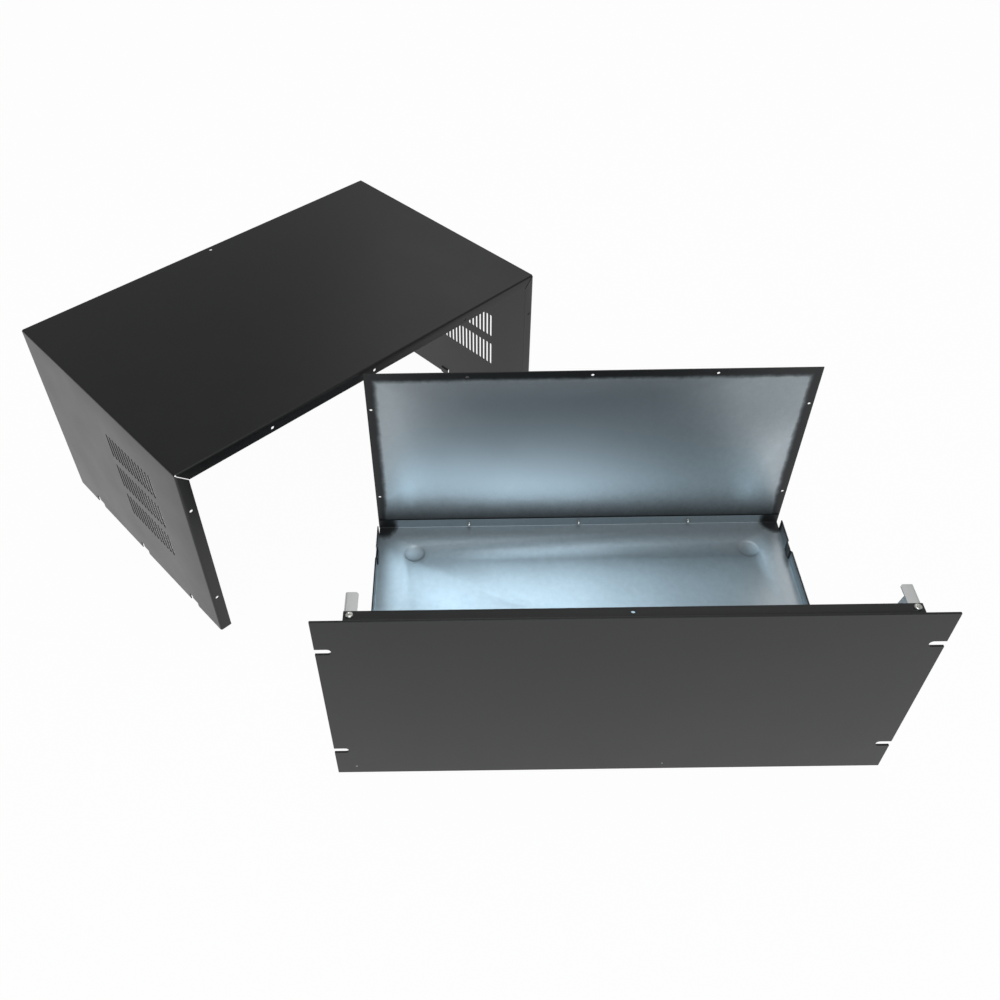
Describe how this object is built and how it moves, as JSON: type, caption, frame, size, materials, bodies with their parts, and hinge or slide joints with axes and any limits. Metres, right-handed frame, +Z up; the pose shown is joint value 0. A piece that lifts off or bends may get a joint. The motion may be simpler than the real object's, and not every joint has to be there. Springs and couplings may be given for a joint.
{
  "type": "sheet metal chassis",
  "caption": "Rack instrument case in folded sheet steel: slotted front plate, shallow base pan, rear panel and corner gussets, with its vented cover taken off and standing behind.",
  "frame": {"origin": "middle of the front plate's back face, the face that seats on the rack rails, at its bottom edge, level with the surface that the chassis and the cover stand on", "axes": "+Z up, +Y from the front plate to the rear panel, +X to the right as seen from the front"},
  "size_m": [0.8143, 0.6757, 0.2215],
  "materials": {
    "panel_paint": "satin",
    "base_finish": "satin",
    "rear_finish": "satin",
    "cover_paint": "satin",
    "galvanised_steel": "satin",
    "zinc_plate": "satin"
  },
  "bodies": {
    "root": {"front_panel": "panel_paint", "base_pan": "base_finish", "rear_panel": "rear_finish", "left_gusset": "galvanised_steel", "right_gusset": "galvanised_steel", "cover": "cover_paint", "strip_screw_left": "zinc_plate", "strip_screw_right": "zinc_plate", "rear_screw_left": "zinc_plate", "rear_screw_middle": "zinc_plate", "rear_screw_right": "zinc_plate", "gusset_rivet_left_front": "zinc_plate", "gusset_rivet_left_rear": "zinc_plate", "panel_stud_left_lower": "zinc_plate", "panel_nut_left_lower": "zinc_plate", "panel_stud_left_upper": "zinc_plate", "panel_nut_left_upper": "zinc_plate", "gusset_rivet_right_front": "zinc_plate", "gusset_rivet_right_rear": "zinc_plate", "panel_stud_right_lower": "zinc_plate", "panel_nut_right_lower": "zinc_plate", "panel_stud_right_upper": "zinc_plate", "panel_nut_right_upper": "zinc_plate"}
  },
  "joints": []
}
